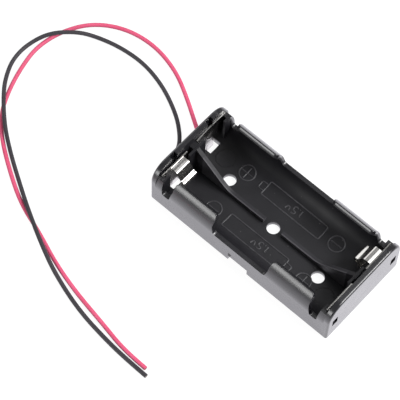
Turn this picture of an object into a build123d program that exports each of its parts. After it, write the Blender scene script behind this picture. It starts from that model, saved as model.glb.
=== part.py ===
from build123d import *
import os
from math import cos, radians, sin, tan

# Holder for two AAA cells lying side by side with opposite polarity.
# Origin: centre of the underside. +X runs along the cells away from the leads,
# +Y across them towards the bay of the positive lead, +Z up out of the bays.
# The housing repeats itself under a half turn about Z; only the lead end has
# the two exit notches and grooves, and only the far end the bridge slot.

# housing
length = 52.0
bay_diameter = 10.6
bay_separation = 1.3
wall = 1.05
end_wall = 1.4
floor_thickness = 1.3
end_cover = 0.6
end_corner_radius = 4.5
end_edge_radius = 0.5
foot_radius = 0.4

# retaining arms, cut free of the walls
tip_angle = 50.5
tip_corner_radius = 1.1
tip_edge_radius = 0.2
middle_gap = 15.0
middle_gap_drop = 0.2
middle_gap_flare = 0.55
middle_gap_neck = 2.2
gap_corner_radius = 0.85
slot_drop = 1.1
slot_inset = 2.3
slot_lean = 0.6
slot_neck = 3.2
slot_corner_radius = 0.6

# pockets for the contacts at both ends
pocket_depth = 1.1
lip_thickness = 0.6
outer_lip_reach = 3.1
outer_lip_drop = 2.8
inner_lip_width = 5.2
inner_lip_drop = 2.5
block_width = 1.8
block_drop = 2.2

# rib between the bays
rib_thickness = 1.0
ridge_rise = 1.2
ridge_length = 26.8
ridge_gap = 5.2
rib_blend_radius = 5.5

# openings in the floor and the walls
hole_diameter = 3.1
hole_spacing = 15.24
hole_stagger = 2.5
window_shift = 0.35
window_width = 3.4
window_length = 2.45
window_inset = 0.6
window_rise = 0.6
exit_width = 2.4
exit_height = 2.6
groove_width = 1.8
groove_depth = 0.85
catch_inset = 2.4
catch_width = 1.75
catch_drop = 1.9
catch_height = 2.5
recess_length = 5.6
recess_height = 3.5
recess_depth = 0.78

# contacts, pressed from one strip thickness
strip = 0.3
plate_gap = 0.45
plate_drop = 1.85
plate_inner_edge = 2.4
bow_inner_edge = 1.0
plate_clearance = 0.1
ear_height = 0.7
ear_inset = 1.5
bow_depth = 0.25
bow_clearance = 0.05
dimple_radius = 1.5
dimple_height = 0.5
leaf_width = 4.1
leaf_reach = 1.9
leaf_crown = 0.12
leaf_slope_run = 1.35
leaf_slope_drop = 2.2
leaf_nose_run = 1.05
leaf_nose_drop = 0.3
leaf_curl_drop = 1.3
leaf_curl_back = 0.25
leaf_end_run = 1.6
leaf_end_drop = 1.4
fold_radius = 0.5
crown_radius = 2.0
link_height = 2.7
link_slot_clearance = 0.1
tang_width = 1.2
tang_drop = 1.5
tang_reach = 0.8
tail_width = 2.2
tail_notch_clearance = 0.25
tail_root = 3.4
tail_end = 0.35
tail_fold_radius = 0.16

# leads
lead_diameter = 1.0
lead_exit_height = 1.0
solder_radius = 0.9

# how far a cutting or joining shape runs past the face that it works on
overrun = 0.5

bay_radius = bay_diameter / 2
shell_radius = bay_radius + wall
cell_offset = (bay_diameter + bay_separation) / 2
half_length = length / 2
half_width = cell_offset + shell_radius
height = floor_thickness + bay_diameter + end_cover
axis_height = floor_thickness + bay_radius
sky = 2 * height
inner_end = half_length - end_wall
lip_face = inner_end - pocket_depth
lip_front = lip_face - lip_thickness
inner_lip_height = height - inner_lip_drop
outer_lip_start = half_width - outer_lip_reach
outer_lip_height = height - outer_lip_drop
plate_centre = inner_end - plate_gap - strip / 2
plate_top = height - plate_drop
ear_reach = half_width - ear_inset
deepest = inner_end - bow_clearance - strip / 2
tail_back = deepest + strip / 2
catch_offset = half_width - catch_inset
catch_bottom = axis_height - catch_drop


def half_turn(shape):
    """The same shape at the other end, in the other bay."""
    return Rot(0, 0, 180) * shape


def span(x0, x1, y0, y1, z0, z1):
    """A block between two corners."""
    return Pos((x0 + x1) / 2, (y0 + y1) / 2, (z0 + z1) / 2) * Box(x1 - x0, y1 - y0, z1 - z0)


def end_outline():
    """Outline of an end wall: flat top, large rounded shoulders, square foot."""
    outline = Pos(0, height / 2) * Rectangle(2 * half_width, height)
    outline = fillet(outline.vertices().group_by(Axis.Y)[-1], end_corner_radius)
    return fillet(outline.vertices().group_by(Axis.Y)[0], foot_radius)


def shell_outline():
    """Outline between the end walls: square foot below, a round shell over each bay."""
    foot = Pos(0, axis_height / 2) * Rectangle(2 * half_width, axis_height)
    foot = fillet(foot.vertices().group_by(Axis.Y)[0], foot_radius)
    shells = Pos(cell_offset, axis_height) * Circle(shell_radius)
    shells += Pos(-cell_offset, axis_height) * Circle(shell_radius)
    between = Pos(0, height / 2) * Rectangle(2 * cell_offset, height)
    outline = foot + shells + between
    return outline & Pos(0, height / 2) * Rectangle(2 * half_width, height)


def bay_outline():
    """What is hollow inside: two round bays with a flat floor between, open at the top."""
    bays = Pos(cell_offset, axis_height) * Circle(bay_radius)
    bays += Pos(-cell_offset, axis_height) * Circle(bay_radius)
    between = Pos(0, (floor_thickness + sky) / 2) * Rectangle(
        2 * cell_offset, sky - floor_thickness
    )
    reach = sky * cos(radians(tip_angle))
    rise = sky * sin(radians(tip_angle))
    mouth = Polygon(
        (0, axis_height),
        (cell_offset, axis_height),
        (cell_offset + reach, axis_height + rise),
        (0, axis_height + rise),
        align=None,
    )
    return bays + between + mouth + mirror(mouth, Plane.YZ)


def side_gaps():
    """Cuts that free the four arms: one gap at mid length, one slot by each end."""
    half_gap = middle_gap / 2
    flare = half_gap + middle_gap_flare
    bottom = axis_height - middle_gap_drop
    middle = Polygon(
        (-half_gap, bottom),
        (half_gap, bottom),
        (flare, bottom + middle_gap_neck),
        (flare, sky),
        (-flare, sky),
        (-flare, bottom + middle_gap_neck),
        align=None,
    )
    middle = fillet(middle.vertices().group_by(Axis.Y)[0], gap_corner_radius)
    slot_outer = lip_front - slot_lean / 2
    slot_inner = lip_front - slot_inset
    slot_bottom = axis_height - slot_drop
    slot = Polygon(
        (slot_inner, slot_bottom),
        (slot_outer, slot_bottom),
        (lip_front, outer_lip_height),
        (inner_end, outer_lip_height),
        (inner_end, sky),
        (slot_inner - slot_lean, sky),
        (slot_inner - slot_lean, slot_bottom + slot_neck),
        align=None,
    )
    slot = fillet(slot.vertices().group_by(Axis.Y)[0], slot_corner_radius)
    gaps = middle + slot + mirror(slot, Plane.YZ)
    return extrude(Plane.XZ * gaps, amount=2 * half_width, both=True)


def end_pocket():
    """Lips, block and sloping rib that hold the contacts apart at the +X end."""
    lips = span(lip_front, lip_face, -inner_lip_width / 2, inner_lip_width / 2, 0, inner_lip_height)
    outer = span(lip_front, lip_face, outer_lip_start, half_width, 0, outer_lip_height)
    outer = outer & extrude(Plane.YZ * shell_outline(), amount=half_length)
    lips += outer + mirror(outer, Plane.XZ)
    half_block = block_width / 2
    block = span(lip_face, inner_end, -half_block, half_block, 0, height - block_drop)
    ridge_top = floor_thickness + ridge_rise
    profile = Polygon(
        (ridge_gap / 2, 0),
        (ridge_gap / 2, ridge_top),
        (ridge_length / 2, ridge_top),
        (lip_front, inner_lip_height),
        (lip_front, 0),
        align=None,
    )
    bend = profile.vertices().sort_by_distance((ridge_length / 2, ridge_top))[0]
    profile = fillet(bend, rib_blend_radius)
    rib = extrude(Plane.XZ * profile, amount=rib_thickness / 2, both=True)
    return lips + block + rib


def floor_openings():
    """Mounting holes, and a window under each contact."""
    centre_hole = Cylinder(hole_diameter / 2, height)
    hole = Pos(hole_spacing, -hole_stagger, 0) * centre_hole
    cuts = centre_hole + hole + half_turn(hole)
    edge = half_length - window_inset
    for y in (cell_offset + window_shift, -cell_offset - window_shift):
        window = span(
            edge - window_length,
            edge,
            y - window_width / 2,
            y + window_width / 2,
            -overrun,
            floor_thickness + window_rise,
        )
        cuts += window + half_turn(window)
    return cuts


def wall_openings():
    """Catch windows in both end walls, exits and grooves at the lead end, side recesses."""
    cuts = []
    for y in (catch_offset, -catch_offset):
        catch = span(
            inner_end - overrun,
            half_length + overrun,
            y - catch_width / 2,
            y + catch_width / 2,
            catch_bottom,
            catch_bottom + catch_height,
        )
        cuts += [catch, half_turn(catch)]
    for y in (cell_offset, -cell_offset):
        cuts.append(span(
            -half_length - overrun,
            -inner_end + overrun,
            y - exit_width / 2,
            y + exit_width / 2,
            -overrun,
            exit_height,
        ))
        cuts.append(span(
            -inner_end - groove_depth,
            -inner_end,
            y - groove_width / 2,
            y + groove_width / 2,
            floor_thickness,
            height + overrun,
        ))
    recess = span(
        -recess_length / 2,
        recess_length / 2,
        half_width - recess_depth,
        half_width + overrun,
        -overrun,
        recess_height,
    )
    cuts += [recess, half_turn(recess)]
    slot = strip / 2 + link_slot_clearance
    cuts.append(span(
        plate_centre - slot,
        plate_centre + slot,
        -block_width,
        block_width,
        floor_thickness,
        height + overrun,
    ))
    return cuts


def housing():
    """One moulding: shell, floor, end walls, arms, lips and rib."""
    wall_at_end = extrude(Plane.YZ * end_outline(), amount=end_wall)
    wall_at_end = fillet(wall_at_end.faces().sort_by(Axis.X)[-1].edges(), end_edge_radius)
    wall_at_end = Pos(inner_end, 0, 0) * wall_at_end
    body = extrude(Plane.YZ * shell_outline(), amount=inner_end, both=True)
    body += wall_at_end + half_turn(wall_at_end)
    body -= extrude(Plane.YZ * bay_outline(), amount=inner_end, both=True)
    body -= side_gaps()
    body = fillet(body.edges().filter_by(is_tip_corner), tip_corner_radius)
    body = fillet(body.edges().filter_by(is_tip_edge), tip_edge_radius)
    pocket = end_pocket()
    body += pocket + half_turn(pocket)
    body -= floor_openings()
    for cut in wall_openings():
        body -= cut
    return body


def is_tip_edge(edge):
    """The outer edge along the free tip of an arm."""
    tip = axis_height + shell_radius * sin(radians(tip_angle))
    near = abs(edge.center().Z - tip) < wall / 20
    return near and abs(edge.tangent_at(0.5).X) > 0.99


def is_tip_corner(edge):
    """A short edge across the thickness of an arm, at its free tip."""
    middle = axis_height + (bay_radius + wall / 2) * sin(radians(tip_angle))
    near = abs(edge.center().Z - middle) < wall / 4
    across = abs(edge.tangent_at(0.5).X) < 0.01
    return near and across and abs(edge.length - wall) < wall / 20


def plate_outline(inner_edge):
    """Plate standing in the pocket of the +Y bay, with its ear above the shell."""
    reach = bay_radius - plate_clearance
    plate_height = plate_top - floor_thickness
    round_part = Pos(cell_offset, axis_height) * Circle(reach)
    middle = Pos((inner_edge + cell_offset) / 2, axis_height) * Rectangle(
        cell_offset - inner_edge, 2 * bay_radius
    )
    square = Pos(
        (inner_edge + ear_reach) / 2, floor_thickness + plate_height / 2
    ) * Rectangle(ear_reach - inner_edge, plate_height)
    ear = Pos(
        (cell_offset + ear_reach) / 2, plate_top - ear_height / 2
    ) * Rectangle(ear_reach - cell_offset, ear_height)
    return (round_part + middle + ear) & square


def tongue(reach, low, high):
    """Upright rectangle at the middle of the +Y bay, to cut or join to a plate."""
    return Pos(cell_offset, (low + high) / 2) * Rectangle(2 * reach, high - low)


def notched_outline(inner_edge):
    """Plate outline with the clearance cut round its solder tongue."""
    notch = tongue(tail_width / 2 + tail_notch_clearance, 0, tail_root)
    return plate_outline(inner_edge) - notch


def flat_plate(outline):
    """Plate of the +Y bay, just behind the lips."""
    return Pos(plate_centre, 0, 0) * extrude(Plane.YZ * outline, amount=strip / 2, both=True)


def strip_along(points, radii, strip_width, y):
    """A strip bent along a line in the XZ plane."""
    path = FilletPolyline([(x, y, z) for x, z in points], radius=radii)
    start = Plane(origin=path @ 0, x_dir=(0, 1, 0), z_dir=path % 0)
    return sweep(start * Rectangle(strip_width, strip), path)


def leaf():
    """Leaf spring folded from the top of the +Y plate, down into the bay and curled under."""
    crown = plate_top - strip / 2
    top = crown - leaf_crown
    fold = (plate_centre - leaf_reach, top)
    knee = (fold[0] - leaf_slope_run, top - leaf_slope_drop)
    nose = (knee[0] - leaf_nose_run, knee[1] - leaf_nose_drop)
    curl = (nose[0] + leaf_curl_back, nose[1] - leaf_curl_drop)
    end = (curl[0] + leaf_end_run, curl[1] - leaf_end_drop)
    points = [
        (plate_centre, top - 2 * fold_radius),
        (plate_centre, top),
        (plate_centre - leaf_reach / 2, crown),
        fold,
        knee,
        nose,
        curl,
        end,
    ]
    radii = [strip, crown_radius, fold_radius, fold_radius, fold_radius, fold_radius]
    return strip_along(points, radii, leaf_width, cell_offset)


def dimple(face, y):
    """Round boss pressed towards the cell, as the skin to add and the hollow to remove."""
    ball = (dimple_radius ** 2 + dimple_height ** 2) / (2 * dimple_height)
    centre = face - dimple_height + ball
    skin = Pos(centre, y, axis_height) * Sphere(ball)
    skin = skin & span(face - dimple_height, face + strip / 2, y - ball, y + ball, 0, height)
    hollow = Pos(centre, y, axis_height) * Sphere(ball - strip)
    return skin, hollow


def tang(back, y):
    """Barb lanced from a plate, standing in the catch window."""
    top = catch_bottom + catch_height - strip
    profile = Polygon(
        (back, top),
        (back, top - strip),
        (inner_end + tang_reach, top - tang_drop),
        (inner_end + tang_reach, top - tang_drop + strip),
        align=None,
    )
    return Pos(0, y, 0) * extrude(Plane.XZ * profile, amount=tang_width / 2, both=True)


def cranked_tail(y):
    """Tongue lanced from the foot of a flat plate and set back to the solder joint."""
    points = [
        (plate_centre, tail_root + 2 * strip),
        (plate_centre, tail_root - strip / 2),
        (deepest, tail_root - strip / 2),
        (deepest, tail_end),
    ]
    return strip_along(points, [tail_fold_radius, tail_fold_radius], tail_width, y)


def bowed_plate(outline):
    """Plate of the +X end in the -Y bay: bowed in plan, with a pressed boss."""
    stations = [
        (deepest - bow_depth, -bow_inner_edge),
        (deepest, -cell_offset),
        (deepest - bow_depth / 4, -ear_reach),
    ]
    front = [(x - strip / 2, y) for x, y in stations]
    back = [(x + strip / 2, y) for x, y in stations]
    bow = ThreePointArc(*front) + ThreePointArc(*back)
    bow += Line(front[0], back[0]) + Line(front[-1], back[-1])
    sheet = extrude(make_face(bow), amount=height)
    plate = sheet & extrude(Plane.YZ * mirror(outline, Plane.YZ), amount=half_length)
    skin, hollow = dimple(deepest - strip / 2, -cell_offset)
    return (plate + skin) - hollow


def positive_contact():
    """Plate with boss and solder tongue, at the lead end in the +Y bay."""
    outline = notched_outline(bow_inner_edge)
    outline += tongue(tail_width / 2, tail_end, tail_root + strip)
    plate = bowed_plate(outline) + tang(deepest - strip / 2, -catch_offset)
    return half_turn(plate)


def negative_contact():
    """Plate with leaf spring and cranked solder tongue, at the lead end in the -Y bay."""
    plate = flat_plate(notched_outline(plate_inner_edge))
    plate += cranked_tail(cell_offset)
    plate += tang(plate_centre + strip / 2, catch_offset)
    return half_turn(plate + leaf())


def bridge_contact():
    """One pressing that joins both cells at the +X end: leaf on +Y, boss on -Y."""
    plain = flat_plate(plate_outline(plate_inner_edge))
    spring_side = plain + leaf() + tang(plate_centre + strip / 2, catch_offset)
    plain_side = mirror(plain, Plane.XZ)
    skin, hollow = dimple(plate_centre - strip / 2, -cell_offset)
    plain_side = (plain_side + skin) - hollow
    plain_side += tang(plate_centre + strip / 2, -catch_offset)
    link = span(
        plate_centre - strip / 2,
        plate_centre + strip / 2,
        -plate_inner_edge - strip,
        plate_inner_edge + strip,
        floor_thickness,
        floor_thickness + link_height,
    )
    return spring_side + plain_side + link


# Each route lists x, y from the middle of its exit in the end face, and the
# height of the lead's centre above the table. Both are limp and lie on it. Where
# the black lead crosses the red one, it lies over it.
lead_rest = lead_diameter / 2
lead_over = 1.8
red_route = [
    (-1.2, 0.0, 1.0),
    (-6.0, 3.1, lead_rest),
    (-15.8, 8.8, lead_rest),
    (-30.5, 12.4, lead_rest),
    (-44.2, 4.2, lead_rest),
    (-46.6, -10.5, lead_rest),
    (-40.6, -26.4, lead_rest),
    (-22.0, -39.2, lead_rest),
    (2.0, -46.8, lead_rest),
    (27.6, -50.0, lead_rest),
]
black_route = [
    (-1.1, 0.0, 1.0),
    (-2.9, 3.2, lead_rest),
    (-4.2, 8.8, lead_rest),
    (-13.0, 16.4, lead_rest),
    (-28.6, 19.0, lead_rest),
    (-41.2, 13.4, lead_over),
    (-45.8, 8.8, lead_over),
    (-48.8, 0.2, lead_rest),
    (-42.7, -9.9, lead_over),
    (-36.4, -16.0, lead_over),
    (-27.2, -22.4, lead_rest),
    (-17.6, -27.8, lead_over),
    (-8.1, -32.7, lead_over),
    (8.0, -38.4, lead_rest),
    (28.9, -39.4, lead_rest),
]


def lead(name, exit_y, route):
    """Insulated lead as a tube of straight runs joined by the largest arcs that fit."""
    start = Vector(-tail_back, exit_y, lead_exit_height)
    points = [start] + [Vector(x - half_length, exit_y + y, z) for x, y, z in route]
    runs = [b - a for a, b in zip(points, points[1:])]
    radii = []
    for before, after in zip(runs, runs[1:]):
        turn = radians(before.get_angle(after))
        radii.append(0.45 * min(before.length, after.length) / tan(turn / 2))
    print(name, "arc radii", [round(r, 1) for r in radii])
    path = FilletPolyline(points, radius=radii)
    tube = sweep(Plane(origin=path @ 0, z_dir=path % 0) * Circle(lead_diameter / 2), path)
    section = Circle(lead_diameter / 2).area
    print(name, "length", round(path.length, 2), "volume over section", round(tube.volume / section, 2))
    return tube


def solder_joint(y, tube):
    """Drop of solder between a tail and the bared end of its lead."""
    drop = Pos(-tail_back, y, lead_exit_height) * Sphere(solder_radius)
    drop = drop & span(-half_length, -tail_back, y - solder_radius, y + solder_radius, 0, height)
    return drop - tube


os.makedirs("parts", exist_ok=True)

red_lead = lead("red_lead", cell_offset, red_route)
black_lead = lead("black_lead", -cell_offset, black_route)
nodes = {
    "housing": housing(),
    "positive_contact": positive_contact(),
    "negative_contact": negative_contact(),
    "bridge_contact": bridge_contact(),
    "red_lead": red_lead,
    "black_lead": black_lead,
    "red_solder_joint": solder_joint(cell_offset, red_lead),
    "black_solder_joint": solder_joint(-cell_offset, black_lead),
}
for name, shape in nodes.items():
    export_step(shape, f"parts/{name}.step")
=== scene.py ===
import bpy
import math
from mathutils import Matrix, Vector


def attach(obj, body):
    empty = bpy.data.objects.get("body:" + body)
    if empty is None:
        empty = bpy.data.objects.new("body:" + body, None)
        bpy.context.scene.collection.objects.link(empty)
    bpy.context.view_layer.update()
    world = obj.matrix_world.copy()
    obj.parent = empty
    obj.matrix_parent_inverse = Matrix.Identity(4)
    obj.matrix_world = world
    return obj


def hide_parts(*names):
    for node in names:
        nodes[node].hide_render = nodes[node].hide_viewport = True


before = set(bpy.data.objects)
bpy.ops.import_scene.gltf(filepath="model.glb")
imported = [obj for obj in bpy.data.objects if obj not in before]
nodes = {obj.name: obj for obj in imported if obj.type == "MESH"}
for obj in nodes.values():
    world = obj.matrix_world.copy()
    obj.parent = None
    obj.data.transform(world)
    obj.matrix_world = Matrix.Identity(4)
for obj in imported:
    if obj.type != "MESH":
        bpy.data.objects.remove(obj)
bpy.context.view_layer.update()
mm = 0.001


# camera, at the photograph's viewing angle
view = {
    "azimuth": 39.11,
    "elevation": 63.17,
    "roll": 3.03,
    "target": (-15.6, -7.34, 5.0),
    "distance": 476.82,
    "lens": 192.1,
    "sensorWidth": 36.0,
}
azimuth = math.radians(view["azimuth"])
elevation = math.radians(view["elevation"])
roll = math.radians(view["roll"])
backward = Vector((
    math.sin(azimuth) * math.cos(elevation),
    -math.cos(azimuth) * math.cos(elevation),
    math.sin(elevation),
))
level = Vector((math.cos(azimuth), math.sin(azimuth), 0.0))
upward = backward.cross(level)
right = level * math.cos(roll) + upward * math.sin(roll)
up = upward * math.cos(roll) - level * math.sin(roll)
cameraData = bpy.data.cameras.new("camera")
cameraData.sensor_fit = "HORIZONTAL"
cameraData.sensor_width = view["sensorWidth"]
cameraData.lens = view["lens"]
camera = bpy.data.objects.new("camera", cameraData)
bpy.context.collection.objects.link(camera)
place = Vector(view["target"]) * mm + backward * view["distance"] * mm
turn = Matrix((right, up, backward)).transposed().to_4x4()
camera.matrix_world = Matrix.Translation(place) @ turn
bpy.context.scene.camera = camera
print("camera set")


# a node with its settings; each input is a socket to link from or a plain value
def addNode(tree, kind, inputs=None, **settings):
    node = tree.nodes.new(kind)
    for key, value in settings.items():
        setattr(node, key, value)
    for key, value in (inputs or {}).items():
        if isinstance(value, bpy.types.NodeSocket):
            tree.links.new(value, node.inputs[key])
        else:
            node.inputs[key].default_value = value
    return node


def compute(tree, operation, *values):
    inputs = dict(enumerate(values))
    return addNode(tree, "ShaderNodeMath", inputs, operation=operation).outputs["Value"]


def remap(tree, value, fromRange, toRange=(0.0, 1.0), **settings):
    inputs = {
        "Value": value,
        "From Min": fromRange[0],
        "From Max": fromRange[1],
        "To Min": toRange[0],
        "To Max": toRange[1],
    }
    return addNode(tree, "ShaderNodeMapRange", inputs, **settings).outputs["Result"]


def addNoise(tree, vector, scale, detail):
    inputs = {"Vector": vector, "Scale": scale, "Detail": detail}
    return addNode(tree, "ShaderNodeTexNoise", inputs).outputs["Fac"]


# the mix node's colours share their names with other sockets, so they go by number
def mixColours(tree, factor, first, second):
    inputs = {0: factor, 6: first, 7: second}
    return addNode(tree, "ShaderNodeMix", inputs, data_type="RGBA").outputs[2]


def opaque(colour):
    return (*colour, 1.0)


def newSocket(group, name, way, kind, value=None):
    socket = group.interface.new_socket(name, in_out=way, socket_type="NodeSocket" + kind)
    if value is not None:
        socket.default_value = value


# a shader group that reads a position and some numbers and gives masks or heights
def newGroup(name, numbers, results):
    group = bpy.data.node_groups.new(name, "ShaderNodeTree")
    newSocket(group, "Vector", "INPUT", "Vector")
    for label, value in numbers.items():
        newSocket(group, label, "INPUT", "Float", value)
    for label in results:
        newSocket(group, label, "OUTPUT", "Float")
    return group, addNode(group, "NodeGroupInput").outputs


grainValues = {
    "fineScale": 5000.0,
    "fineDetail": 4.0,
    "broadScale": 300.0,
    "broadDetail": 3.0,
    "toneRange": (0.3, 0.7),
}


# grain of a surface: a fine height, a slow tone from 0 to 1
def makeGrainGroup():
    numbers = {"Fine Scale": grainValues["fineScale"], "Broad Scale": grainValues["broadScale"]}
    group, source = newGroup("surfaceGrain", numbers, ("Height", "Tone"))
    fine = addNoise(group, source["Vector"], source["Fine Scale"], grainValues["fineDetail"])
    broad = addNoise(group, source["Vector"], source["Broad Scale"], grainValues["broadDetail"])
    tone = remap(group, broad, grainValues["toneRange"])
    addNode(group, "NodeGroupOutput", {"Height": fine, "Tone": tone})
    return group


handlingValues = {
    "scuffScale": 900.0,
    "scuffDetail": 2.0,
    "scuffTurn": (0.3, 0.5, 0.6),
    "scuffStretch": (0.08, 1.0, 1.0),
    "scuffRange": (0.62, 0.78),
    "speckScale": 500.0,
    "speckRange": (0.07, 0.04),
}


# signs of handling: short faint scuffs and a few specks of dust, as masks
def makeHandlingGroup():
    numbers = {
        "Scuff Scale": handlingValues["scuffScale"],
        "Speck Scale": handlingValues["speckScale"],
    }
    group, source = newGroup("handlingMarks", numbers, ("Scuffs", "Specks"))
    turned = addNode(group, "ShaderNodeMapping", {
        "Vector": source["Vector"],
        "Rotation": handlingValues["scuffTurn"],
        "Scale": handlingValues["scuffStretch"],
    }).outputs["Vector"]
    scuff = addNoise(group, turned, source["Scuff Scale"], handlingValues["scuffDetail"])
    speck = addNode(group, "ShaderNodeTexVoronoi", {
        "Vector": source["Vector"],
        "Scale": source["Speck Scale"],
    }).outputs["Distance"]
    addNode(group, "NodeGroupOutput", {
        "Scuffs": remap(group, scuff, handlingValues["scuffRange"]),
        "Specks": remap(group, speck, handlingValues["speckRange"]),
    })
    return group


# the bores that the cells lie in, one on each side of the middle
boreValues = {
    "radius": 5.3,
    "offset": 5.95,
    "height": 6.6,
}
bayValues = {
    "reach": (5.9, 5.6),
    "halfLength": 24.7,
    "crestHalfWidth": 0.6,
    "crestHalfLength": 21.0,
    "crestFoot": 1.4,
    "sideTop": 2.46,
    "edgeY": -0.25,
}


# where a point lies on the moulding: in the bays, which are matt, on the crest of the
# divider between them, which is coloured lighter, or on the rim of that crest: its low
# side and its -Y edge, coloured lighter still as painted light, a painted fill on the
# shaded side and a painted highlight along the edge
def makeBayGroup():
    numbers = {
        "Bore Offset": boreValues["offset"] * mm,
        "Bore Height": boreValues["height"] * mm,
    }
    group, source = newGroup("bayMasks", numbers, ("Inside", "Crest", "Rim Painted Light"))
    parts = addNode(group, "ShaderNodeSeparateXYZ", {"Vector": source["Vector"]}).outputs

    def below(value, limit):
        return compute(group, "LESS_THAN", value, bayValues[limit] * mm)

    def both(first, second):
        return compute(group, "MULTIPLY", first, second)

    along = compute(group, "ABSOLUTE", parts["X"])
    across = compute(group, "ABSOLUTE", parts["Y"])
    beside = compute(group, "SUBTRACT", across, source["Bore Offset"])
    beside = compute(group, "MAXIMUM", beside, 0.0)
    above = compute(group, "SUBTRACT", parts["Z"], source["Bore Height"])
    squares = compute(group, "ADD", both(beside, beside), both(above, above))
    far, near = bayValues["reach"]
    within = remap(group, compute(group, "SQRT", squares), (far * mm, near * mm))
    middle = both(below(across, "crestHalfWidth"), below(along, "crestHalfLength"))
    raised = compute(group, "GREATER_THAN", parts["Z"], bayValues["crestFoot"] * mm)
    crest = both(middle, raised)
    # the rim is painted light: a painted fill on the crest's shaded low side, and a painted
    # highlight along its -Y edge
    side = both(crest, below(parts["Z"], "sideTop"))
    edge = both(crest, below(parts["Y"], "edgeY"))
    addNode(group, "NodeGroupOutput", {
        "Inside": both(within, below(along, "halfLength")),
        "Crest": crest,
        "Rim Painted Light": compute(group, "MAXIMUM", side, edge),
    })
    return group


grainGroup = makeGrainGroup()
handlingGroup = makeHandlingGroup()
bayGroup = makeBayGroup()

# what every finish has unless it says otherwise
plainFinish = {
    "stretch": (1.0, 1.0, 1.0),
    "scuffScale": handlingValues["scuffScale"],
    "scuffRoughness": 0.08,
    "scuffDepth": 0.3,
    "speckScale": handlingValues["speckScale"],
    "dust": 0.0,
    "dustColour": (0.55, 0.54, 0.52),
    "metallic": 0.0,
    "ior": 1.5,
    "coat": 0.0,
    "coatRoughness": 0.1,
    "bay": None,
}


# a finish: the tone drifts colour and roughness, the grain and the scuffs bump it
def makeFinish(name, own):
    values = {**plainFinish, **own}
    material = bpy.data.materials.new(name)
    material.use_nodes = True
    tree = material.node_tree
    tree.nodes.clear()
    position = addNode(tree, "ShaderNodeTexCoord").outputs["Object"]
    mapping = addNode(tree, "ShaderNodeMapping", {
        "Vector": position,
        "Scale": values["stretch"],
    })
    grain = addNode(tree, "ShaderNodeGroup", {
        "Vector": mapping.outputs["Vector"],
        "Fine Scale": values["fineScale"],
        "Broad Scale": values["broadScale"],
    }, node_tree=grainGroup).outputs
    marks = addNode(tree, "ShaderNodeGroup", {
        "Vector": position,
        "Scuff Scale": values["scuffScale"],
        "Speck Scale": values["speckScale"],
    }, node_tree=handlingGroup).outputs

    dark, light = opaque(values["darkColour"]), opaque(values["lightColour"])
    colour = mixColours(tree, grain["Tone"], dark, light)
    dust = compute(tree, "MULTIPLY", marks["Specks"], values["dust"])
    colour = mixColours(tree, dust, colour, opaque(values["dustColour"]))
    rough = remap(tree, grain["Tone"], (0.0, 1.0), values["roughness"])
    rough = compute(tree, "MULTIPLY_ADD", marks["Scuffs"], values["scuffRoughness"], rough)
    coat = values["coat"]
    if values["bay"]:
        bay = addNode(tree, "ShaderNodeGroup", {"Vector": position}, node_tree=bayGroup).outputs
        colour = mixColours(tree, bay["Crest"], colour, opaque(values["bay"]["crestColour"]))
        # painted light on the crest's rim: a fill on its shaded side and a highlight on its
        # edge
        colour = mixColours(tree, bay["Rim Painted Light"], colour, opaque(values["bay"]["rimPaintedLightColour"]))
        matter = values["bay"]["extraRoughness"]
        rough = compute(tree, "MULTIPLY_ADD", bay["Inside"], matter, rough)
        coat = compute(tree, "MULTIPLY_ADD", bay["Inside"], -coat, coat)
    depth = -values["scuffDepth"]
    bump = addNode(tree, "ShaderNodeBump", {
        "Strength": values["bumpStrength"],
        "Distance": values["bumpDepth"] * mm,
        "Height": compute(tree, "MULTIPLY_ADD", marks["Scuffs"], depth, grain["Height"]),
    })
    shader = addNode(tree, "ShaderNodeBsdfPrincipled", {
        "Base Color": colour,
        "Roughness": rough,
        "Metallic": values["metallic"],
        "IOR": values["ior"],
        "Coat Weight": coat,
        "Coat Roughness": values["coatRoughness"],
        "Normal": bump.outputs["Normal"],
    })
    addNode(tree, "ShaderNodeOutputMaterial", {"Surface": shader.outputs["BSDF"]})
    return material


blackPlastic = makeFinish("blackMouldedPlastic", {
    "darkColour": (0.0086, 0.0082, 0.0112),
    "lightColour": (0.0124, 0.0119, 0.0156),
    "roughness": (0.24, 0.31),
    "fineScale": 5200.0,
    "broadScale": 260.0,
    "bumpStrength": 0.22,
    "bumpDepth": 0.02,
    "dust": 0.12,
    "speckScale": 420.0,
    "coat": 1.0,
    "coatRoughness": 0.24,
    "bay": {
        "extraRoughness": 0.27,
        "crestColour": (0.022, 0.021, 0.026),
        # painted light: this colour fills the rim's shaded side and paints a highlight on its
        # edge
        "rimPaintedLightColour": (0.075, 0.072, 0.082),
    },
})
# raised marks coloured several times lighter than the moulding: a painted highlight along the
# lines
markPaintedHighlightPlastic = makeFinish("raisedMarkPaintedHighlight", {
    "darkColour": (0.040, 0.039, 0.044),
    "lightColour": (0.076, 0.075, 0.083),
    "roughness": (0.40, 0.48),
    "fineScale": 5200.0,
    "broadScale": 900.0,
    "bumpStrength": 0.2,
    "bumpDepth": 0.02,
    "coat": 0.2,
    "coatRoughness": 0.3,
})
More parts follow.
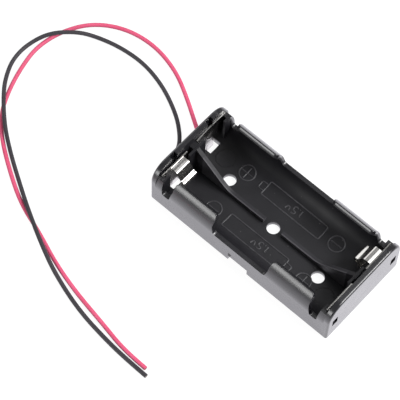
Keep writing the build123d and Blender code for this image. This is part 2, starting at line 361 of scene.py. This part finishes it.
# matt, and coloured darker than the moulding: painted shade of a shallow groove
dullGrooveShadePlastic = makeFinish("mattPaintedGrooveShade", {
    "darkColour": (0.0062, 0.0060, 0.0076),
    "lightColour": (0.0084, 0.0081, 0.0102),
    "roughness": (0.58, 0.66),
    "fineScale": 5200.0,
    "broadScale": 400.0,
    "bumpStrength": 0.3,
    "bumpDepth": 0.02,
})
nickelPlate = makeFinish("brightNickelPlate", {
    "darkColour": (0.62, 0.605, 0.585),
    "lightColour": (0.76, 0.745, 0.725),
    "roughness": (0.14, 0.22),
    "fineScale": 2600.0,
    "broadScale": 500.0,
    "stretch": (1.0, 0.12, 1.0),
    "scuffScale": 1500.0,
    "bumpStrength": 0.18,
    "bumpDepth": 0.012,
    "metallic": 1.0,
})
solderMetal = makeFinish("solderDrop", {
    "darkColour": (0.5, 0.5, 0.5),
    "lightColour": (0.72, 0.72, 0.72),
    "roughness": (0.2, 0.36),
    "fineScale": 1800.0,
    "broadScale": 900.0,
    "bumpStrength": 0.5,
    "bumpDepth": 0.06,
    "metallic": 1.0,
})
insulation = {
    "ior": 1.38,
    "fineScale": 2400.0,
    "broadScale": 160.0,
    "bumpStrength": 0.25,
    "bumpDepth": 0.03,
    "dust": 0.1,
    "speckScale": 700.0,
}
redInsulation = makeFinish("redLeadInsulation", {
    **insulation,
    "darkColour": (0.86, 0.110, 0.225),
    "lightColour": (0.94, 0.142, 0.278),
    "roughness": (0.48, 0.56),
})
blackInsulation = makeFinish("blackLeadInsulation", {
    **insulation,
    "darkColour": (0.050, 0.046, 0.054),
    "lightColour": (0.066, 0.061, 0.070),
    "roughness": (0.44, 0.52),
})
tinnedStrand = makeFinish("tinnedCopperStrand", {
    "darkColour": (0.60, 0.48, 0.40),
    "lightColour": (0.80, 0.74, 0.68),
    "roughness": (0.25, 0.4),
    "fineScale": 4000.0,
    "broadScale": 2000.0,
    "bumpStrength": 0.3,
    "bumpDepth": 0.01,
    "metallic": 1.0,
})
print("finishes made")


# leads: each point is x and y from the middle of its exit in the end face, and
# the height of the lead's middle above the table
endFace = -26.0
tailBack = -24.55
exitHeight = 1.0
rest = 0.5
over = 1.8
wireValues = {
    "curveOrder": 3,
    "lengthSteps": 12,
    "roundSteps": 5,
}
redLeadValues = {
    "exitY": 5.95,
    "length": 153.6,
    "diameter": 1.0,
    "route": [
        (-1.2, 0.0, 1.0), (-4.5, 2.1, rest), (-10.8, 6.1, rest), (-17.6, 9.75, rest),
        (-25.8, 11.55, rest), (-34.0, 10.35, rest), (-40.8, 6.05, rest), (-44.6, -0.55, rest),
        (-45.9, -7.55, rest), (-44.7, -13.85, rest), (-42.6, -20.15, rest),
        (-39.6, -25.95, rest), (-34.8, -30.55, rest), (-27.6, -35.3, rest),
        (-20.1, -39.45, rest), (-12.2, -41.85, rest), (-4.4, -44.85, rest),
        (4.2, -47.05, rest), (13.4, -48.55, rest), (21.4, -50.05, rest), (27.6, -50.0, rest),
    ],
}
blackLeadValues = {
    "exitY": -5.95,
    "length": 158.7,
    "diameter": 1.0,
    "route": [
        (-0.7, 0.0, 1.0), (-1.8, 0.7, 0.8), (-2.6, 2.3, 0.55), (-2.95, 4.65, rest),
        (-3.6, 7.15, rest), (-5.5, 9.65, rest), (-9.5, 12.95, rest), (-16.7, 16.45, rest),
        (-24.2, 18.15, rest), (-31.4, 17.65, rest), (-37.5, 15.95, rest), (-41.2, 13.35, over),
        (-45.8, 8.75, over), (-48.0, 3.4, rest), (-47.7, -1.6, rest), (-45.9, -5.65, rest),
        (-42.7, -9.95, over), (-36.4, -16.05, over), (-30.4, -20.15, rest),
        (-23.8, -24.1, rest), (-17.6, -27.85, over), (-8.1, -32.75, over),
        (-1.6, -35.25, rest), (7.6, -37.85, rest), (16.4, -38.95, rest),
        (23.2, -39.35, rest), (28.9, -39.35, rest),
    ],
}


def makeRoute(name, values):
    start = (tailBack, values["exitY"], exitHeight)
    points = [start] + [(endFace + x, values["exitY"] + y, z) for x, y, z in values["route"]]
    curve = bpy.data.curves.new(name, "CURVE")
    curve.dimensions = "3D"
    spline = curve.splines.new("NURBS")
    spline.points.add(len(points) - 1)
    for point, (x, y, z) in zip(spline.points, points):
        point.co = (x * mm, y * mm, z * mm, 1.0)
    spline.order_u = wireValues["curveOrder"]
    spline.use_endpoint_u = True
    spline.resolution_u = wireValues["lengthSteps"]
    return curve


def placeObject(name, data):
    placed = bpy.data.objects.new(name, data)
    bpy.context.collection.objects.link(placed)
    return placed


def makeLead(name, values, material):
    curve = makeRoute(name, values)
    curve.bevel_depth = values["diameter"] / 2 * mm
    curve.bevel_resolution = wireValues["roundSteps"]
    curve.use_fill_caps = True
    curve.materials.append(material)
    return placeObject(name, curve)


redLead = makeLead("redLeadWire", redLeadValues, redInsulation)
blackLead = makeLead("blackLeadWire", blackLeadValues, blackInsulation)
print("leads laid")


# the object's evaluated shape as a plain mesh object of the same name
def settle(source):
    bpy.context.view_layer.update()
    graph = bpy.context.evaluated_depsgraph_get()
    mesh = bpy.data.meshes.new_from_object(source.evaluated_get(graph))
    name = source.name
    bpy.data.objects.remove(source)
    return placeObject(name, mesh)


# points and edges that a geometry tree turns into a solid piece
def growPiece(name, vertices, edges, tree, inputs):
    mesh = bpy.data.meshes.new(name)
    mesh.from_pydata(vertices, edges, [])
    drawn = placeObject(name, mesh)
    modifier = drawn.modifiers.new(tree.name, "NODES")
    modifier.node_group = tree
    for item in tree.interface.items_tree:
        if item.in_out == "INPUT" and item.name in inputs:
            modifier[item.identifier] = inputs[item.name]
    piece = settle(drawn)
    piece.data.shade_smooth()
    return piece


def newGeometryTree(name, inputs):
    tree = bpy.data.node_groups.new(name, "GeometryNodeTree")
    newSocket(tree, "Geometry", "INPUT", "Geometry")
    for label, (kind, value) in inputs.items():
        newSocket(tree, label, "INPUT", kind, value)
    newSocket(tree, "Finish", "INPUT", "Material")
    newSocket(tree, "Geometry", "OUTPUT", "Geometry")
    return tree, addNode(tree, "NodeGroupInput").outputs


# the last steps of a geometry tree: a profile swept along the curves, with its finish
def sweepCurves(tree, curves, profile, finish):
    solid = addNode(tree, "GeometryNodeCurveToMesh", {
        "Curve": curves,
        "Profile Curve": profile,
        "Fill Caps": True,
    })
    real = addNode(tree, "GeometryNodeRealizeInstances", {"Geometry": solid.outputs["Mesh"]})
    finished = addNode(tree, "GeometryNodeSetMaterial", {
        "Geometry": real.outputs["Geometry"],
        "Material": finish,
    })
    addNode(tree, "NodeGroupOutput", {"Geometry": finished.outputs["Geometry"]})


# marks moulded on the bay floors: signs in rings, the cells' outlines, the voltage
markValues = {
    "lineWidth": 0.34,
    "lineHeight": 0.12,
    "cornerRadius": 0.35,
    "step": 0.25,
    "sideways": 0.5,
    "ringRadius": 1.9,
    "strokeReach": 1.47,
    "plusX": 13.4,
    "minusX": 13.1,
    "cellBack": 9.2,
    "cellFront": -7.8,
    "cellHalfWidth": 1.85,
    "nubLength": 1.6,
    "nubHalfWidth": 0.92,
    "digitHeight": 1.85,
    "digitWidth": 1.2,
    "digitStart": 2.9,
    "digitBase": 1.05,
}
lineValues = {
    "inputs": {
        "Line Width": "lineWidth",
        "Line Height": "lineHeight",
        "Corner Radius": "cornerRadius",
        "Step": "step",
    },
    "cornerSteps": 5,
    "roundSteps": 12,
}


# a low rounded line along each path, laid on the bay floor: flat between the two
# bores' middle lines, and round outside them
def makeRaisedLineTree():
    inputs = {}
    for label, key in lineValues["inputs"].items():
        inputs[label] = ("Float", markValues[key] * mm)
    for key, value in boreValues.items():
        inputs["Bore " + key.capitalize()] = ("Float", value * mm)
    tree, source = newGeometryTree("raisedLineOnBay", inputs)
    curve = addNode(tree, "GeometryNodeMeshToCurve", {"Mesh": source["Geometry"]})
    rounded = addNode(tree, "GeometryNodeFilletCurve", {
        "Curve": curve.outputs["Curve"],
        "Radius": source["Corner Radius"],
        "Count": lineValues["cornerSteps"],
        "Limit Radius": True,
    }, mode="POLY")
    divided = addNode(tree, "GeometryNodeResampleCurve", {
        "Curve": rounded.outputs["Curve"],
        "Length": source["Step"],
    }, mode="LENGTH")

    position = addNode(tree, "GeometryNodeInputPosition").outputs["Position"]
    parts = addNode(tree, "ShaderNodeSeparateXYZ", {"Vector": position}).outputs
    across = compute(tree, "ABSOLUTE", parts["Y"])
    beside = compute(tree, "SUBTRACT", across, source["Bore Offset"])
    beside = compute(tree, "MAXIMUM", beside, 0.0)
    radiusSquare = compute(tree, "POWER", source["Bore Radius"], 2.0)
    besideSquare = compute(tree, "POWER", beside, 2.0)
    drop = compute(tree, "SQRT", compute(tree, "SUBTRACT", radiusSquare, besideSquare))
    laid = addNode(tree, "ShaderNodeCombineXYZ", {
        "X": parts["X"],
        "Y": parts["Y"],
        "Z": compute(tree, "SUBTRACT", source["Bore Height"], drop),
    })
    placed = addNode(tree, "GeometryNodeSetPosition", {
        "Geometry": divided.outputs["Curve"],
        "Position": laid.outputs["Vector"],
    })
    upright = addNode(tree, "GeometryNodeSetCurveNormal", {
        "Curve": placed.outputs["Geometry"],
    }, mode="Z_UP")

    profile = addNode(tree, "GeometryNodeCurvePrimitiveCircle", {
        "Resolution": lineValues["roundSteps"],
        "Radius": 1.0,
    }, mode="RADIUS")
    size = addNode(tree, "ShaderNodeCombineXYZ", {
        "X": compute(tree, "MULTIPLY", source["Line Width"], 0.5),
        "Y": source["Line Height"],
        "Z": 1.0,
    })
    flattened = addNode(tree, "GeometryNodeTransform", {
        "Geometry": profile.outputs["Curve"],
        "Scale": size.outputs["Vector"],
    })
    shape = flattened.outputs["Geometry"]
    sweepCurves(tree, upright.outputs["Curve"], shape, source["Finish"])
    return tree


raisedLineTree = makeRaisedLineTree()


# each path is its points, and whether it closes on itself
def raiseLines(name, paths, values, material):
    vertices, edges = [], []
    for points, closed in paths:
        first = len(vertices)
        vertices += [(x * mm, y * mm, 0.0) for x, y in points]
        edges += [(first + i, first + i + 1) for i in range(len(points) - 1)]
        if closed:
            edges.append((len(vertices) - 1, first))
    inputs = {"Finish": material}
    for label, key in lineValues["inputs"].items():
        inputs[label] = values[key] * mm
    return growPiece(name, vertices, edges, raisedLineTree, inputs)


def ring(x, y, radius, count=40):
    turns = [2 * math.pi * i / count for i in range(count)]
    return [(x + radius * math.cos(t), y + radius * math.sin(t)) for t in turns], True


def cellOutline(y, way):
    back, front = way * markValues["cellBack"], way * markValues["cellFront"]
    half = markValues["cellHalfWidth"]
    nub = front - way * markValues["nubLength"]
    nubHalf = markValues["nubHalfWidth"]
    body = [(back, y - half), (front, y - half), (front, y + half), (back, y + half)]
    tip = [(front, y - nubHalf), (nub, y - nubHalf), (nub, y + nubHalf), (front, y + nubHalf)]
    return [(body, True), (tip, False)]


# the voltage in single strokes, in units of a digit's width and height
voltageStrokes = [
    [(0.15, 0.8), (0.45, 1.0), (0.45, 0.0)],
    [(1.05, 0.0), (1.05, 0.1)],
    [
        (2.2, 1.0), (1.5, 1.0), (1.42, 0.55), (1.8, 0.66), (2.2, 0.52),
        (2.28, 0.28), (2.1, 0.05), (1.75, 0.0), (1.42, 0.12),
    ],
    [(2.75, 1.0), (3.2, 0.0), (3.65, 1.0)],
]


def voltage(y):
    start, width = markValues["digitStart"], markValues["digitWidth"]
    base, height = y + markValues["digitBase"], markValues["digitHeight"]
    return [
        ([(start - u * width, base - v * height) for u, v in stroke], False)
        for stroke in voltageStrokes
    ]


def markPaths():
    reach, radius = markValues["strokeReach"], markValues["ringRadius"]
    paths = []
    for way in (1, -1):
        y = way * boreValues["offset"] + markValues["sideways"]
        plus, minus = -way * markValues["plusX"], way * markValues["minusX"]
        paths += [ring(plus, y, radius), ring(minus, y, radius)]
        paths.append(([(plus - reach, y), (plus + reach, y)], False))
        paths.append(([(plus, y - reach), (plus, y + reach)], False))
        paths.append(([(minus - reach, y), (minus + reach, y)], False))
        paths += cellOutline(y, way)
        paths += voltage(y)
    return paths


# the marks' light colour is a painted highlight along the raised lines
bayMarks = raiseLines("bayMarks", markPaths(), markValues, markPaintedHighlightPlastic)
print("marks raised")


# round witness lines of the ejector pins: a barely raised matt line, coloured darker than the
# moulding as painted shade of a shallow groove
ejectorValues = {
    "lineWidth": 0.3,
    "lineHeight": 0.02,
    "cornerRadius": 0.0,
    "step": 0.3,
    "places": [(-19.5, 6.0), (19.35, -5.35)],
    "radius": 2.3,
}
ejectorPaths = [ring(x, y, ejectorValues["radius"]) for x, y in ejectorValues["places"]]
ejectorRings = raiseLines("ejectorRings", ejectorPaths, ejectorValues, dullGrooveShadePlastic)
print("ejector rings drawn")


# strands of each lead's conductor, twisted round its middle one, at the cut end
strandValues = {
    "count": 6,
    "strandRadius": 0.07,
    "twist": 2.2,
    "inside": 0.9,
    "outside": 0.1,
    "lengthSteps": 12,
    "roundSteps": 10,
}


def makeStrandTree():
    tree, source = newGeometryTree("twistedStrands", {
        "Count": ("Int", strandValues["count"]),
        "Strand Radius": ("Float", strandValues["strandRadius"] * mm),
        "Twist": ("Float", strandValues["twist"]),
    })
    curve = addNode(tree, "GeometryNodeMeshToCurve", {"Mesh": source["Geometry"]})
    divided = addNode(tree, "GeometryNodeResampleCurve", {
        "Curve": curve.outputs["Curve"],
        "Count": strandValues["lengthSteps"],
    }, mode="COUNT")
    copies = addNode(tree, "GeometryNodeDuplicateElements", {
        "Geometry": divided.outputs["Curve"],
        "Amount": source["Count"],
    }, domain="SPLINE")

    share = compute(tree, "DIVIDE", copies.outputs["Duplicate Index"], source["Count"])
    along = addNode(tree, "GeometryNodeSplineParameter").outputs["Factor"]
    twisted = compute(tree, "MULTIPLY", along, source["Twist"])
    turned = addNode(tree, "ShaderNodeVectorRotate", {
        "Vector": addNode(tree, "GeometryNodeInputNormal").outputs["Normal"],
        "Axis": addNode(tree, "GeometryNodeInputTangent").outputs["Tangent"],
        "Angle": compute(tree, "MULTIPLY_ADD", share, 2 * math.pi, twisted),
    }, rotation_type="AXIS_ANGLE")
    offset = addNode(tree, "ShaderNodeVectorMath", {
        "Vector": turned.outputs["Vector"],
        "Scale": compute(tree, "MULTIPLY", source["Strand Radius"], 2.0),
    }, operation="SCALE")
    spread = addNode(tree, "GeometryNodeSetPosition", {
        "Geometry": copies.outputs["Geometry"],
        "Offset": offset.outputs["Vector"],
    })

    bundle = addNode(tree, "GeometryNodeJoinGeometry", {"Geometry": divided.outputs["Curve"]})
    tree.links.new(spread.outputs["Geometry"], bundle.inputs["Geometry"])
    profile = addNode(tree, "GeometryNodeCurvePrimitiveCircle", {
        "Resolution": strandValues["roundSteps"],
        "Radius": source["Strand Radius"],
    }, mode="RADIUS")
    shape = profile.outputs["Curve"]
    sweepCurves(tree, bundle.outputs["Geometry"], shape, source["Finish"])
    return tree


strandTree = makeStrandTree()


def makeStrands(name, values):
    line = settle(placeObject("guide", makeRoute("guide", values)))
    before, end = [vertex.co.copy() for vertex in line.data.vertices[-2:]]
    bpy.data.objects.remove(line)
    way = (end - before).normalized()
    near = end - way * strandValues["inside"] * mm
    far = end + way * strandValues["outside"] * mm
    return growPiece(name, [near, far], [(0, 1)], strandTree, {
        "Count": strandValues["count"],
        "Strand Radius": strandValues["strandRadius"] * mm,
        "Twist": strandValues["twist"],
        "Finish": tinnedStrand,
    })


redStrands = makeStrands("redLeadStrands", redLeadValues)
blackStrands = makeStrands("blackLeadStrands", blackLeadValues)
print("strands made")


# each new piece hangs from the root body, and each lead's own node in model.glb is hidden
def declareLead(lead, strands, slot, node):
    for piece, finish in ((lead, slot), (strands, "solder")):
        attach(piece, "root")
    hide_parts(node)


declareLead(redLead, redStrands, "red_insulation", "red_lead")
declareLead(blackLead, blackStrands, "black_insulation", "black_lead")
for piece in (bayMarks, ejectorRings):
    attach(piece, "root")

for name, material in (
    ("housing", blackPlastic),
    ("positive_contact", nickelPlate),
    ("negative_contact", nickelPlate),
    ("bridge_contact", nickelPlate),
    ("red_solder_joint", solderMetal),
    ("black_solder_joint", solderMetal),
):
    for slot in nodes[name].material_slots:
        slot.material = material
print("pieces placed and finished")


# table and light
stageValues = {
    "tableHalfSize": 900.0,
    "tableColour": (0.20, 0.20, 0.20),
    "tableSeen": 0.93,
    "tableReflected": (1.05, 0.22),
    "tableFade": (28.0, 130.0),
    "reflectedTint": (0.955, 0.938, 1.0),
    "white": (1.0, 1.0, 1.0),
    "skyLight": 0.25,
}


# the table glows white to the camera; in reflections its glow fades away from the part
def makeTableMaterial():
    material = bpy.data.materials.new("paleTable")
    material.use_nodes = True
    tree = material.node_tree
    tree.nodes.clear()
    path = addNode(tree, "ShaderNodeLightPath").outputs
    seen = path["Is Camera Ray"]
    position = addNode(tree, "ShaderNodeTexCoord").outputs["Object"]
    away = addNode(tree, "ShaderNodeVectorMath", {"Vector": position}, operation="LENGTH")
    start, end = stageValues["tableFade"]
    fade = remap(
        tree,
        away.outputs["Value"],
        (start * mm, end * mm),
        stageValues["tableReflected"],
        interpolation_type="SMOOTHSTEP",
    )
    reflected = compute(tree, "MULTIPLY", path["Is Glossy Ray"], fade)
    tint, white = opaque(stageValues["reflectedTint"]), opaque(stageValues["white"])
    glow = addNode(tree, "ShaderNodeEmission", {
        "Strength": compute(tree, "MULTIPLY_ADD", seen, stageValues["tableSeen"], reflected),
        "Color": mixColours(tree, seen, tint, white),
    })
    matt = addNode(tree, "ShaderNodeBsdfDiffuse", {"Color": opaque(stageValues["tableColour"])})
    both = addNode(tree, "ShaderNodeAddShader", {
        0: matt.outputs["BSDF"],
        1: glow.outputs["Emission"],
    })
    addNode(tree, "ShaderNodeOutputMaterial", {"Surface": both.outputs["Shader"]})
    return material


def makeTable():
    half = stageValues["tableHalfSize"] * mm
    corners = [(-half, -half, 0.0), (half, -half, 0.0), (half, half, 0.0), (-half, half, 0.0)]
    mesh = bpy.data.meshes.new("table")
    mesh.from_pydata(corners, [], [(0, 1, 2, 3)])
    mesh.materials.append(makeTableMaterial())
    table = placeObject("table", mesh)


# the sky lights the part dimly and evenly, and is white to the camera
def makeWorld():
    world = bpy.data.worlds.new("studio")
    world.use_nodes = True
    tree = world.node_tree
    tree.nodes.clear()
    seen = addNode(tree, "ShaderNodeLightPath").outputs["Is Camera Ray"]
    background = addNode(tree, "ShaderNodeBackground", {
        "Color": opaque(stageValues["white"]),
        "Strength": remap(tree, seen, (0.0, 1.0), (stageValues["skyLight"], 1.0)),
    })
    addNode(tree, "ShaderNodeOutputWorld", {"Surface": background.outputs["Background"]})
    bpy.context.scene.world = world


def makeSoftbox(name, values):
    lamp = bpy.data.lights.new(name, "AREA")
    lamp.shape = "RECTANGLE"
    lamp.size = values["size"][0] * mm
    lamp.size_y = values["size"][1] * mm
    lamp.energy = values["power"]
    box = placeObject(name, lamp)
    place = Vector(values["direction"]).normalized() * values["distance"] * mm
    box.location = place
    box.rotation_euler = (-place).to_track_quat("-Z", "Y").to_euler()
    box.visible_camera = False


softboxes = {
    "rightSoftbox": {
        "direction": (0.60, 0.35, 0.72),
        "distance": 520.0,
        "size": (300.0, 240.0),
        "power": 2.5,
    },
    "topSoftbox": {
        "direction": (0.05, 0.35, 0.935),
        "distance": 520.0,
        "size": (130.0, 150.0),
        "power": 0.14,
    },
    "leftSoftbox": {
        "direction": (-0.74, 0.39, 0.55),
        "distance": 520.0,
        "size": (480.0, 340.0),
        "power": 0.55,
    },
    "frontSoftbox": {
        "direction": (-0.285, -0.91, 0.29),
        "distance": 650.0,
        "size": (420.0, 210.0),
        "power": 1.4,
    },
}
makeTable()
makeWorld()
for name, values in softboxes.items():
    makeSoftbox(name, values)
bpy.context.scene.view_settings.view_transform = "Standard"
print("table and light set")
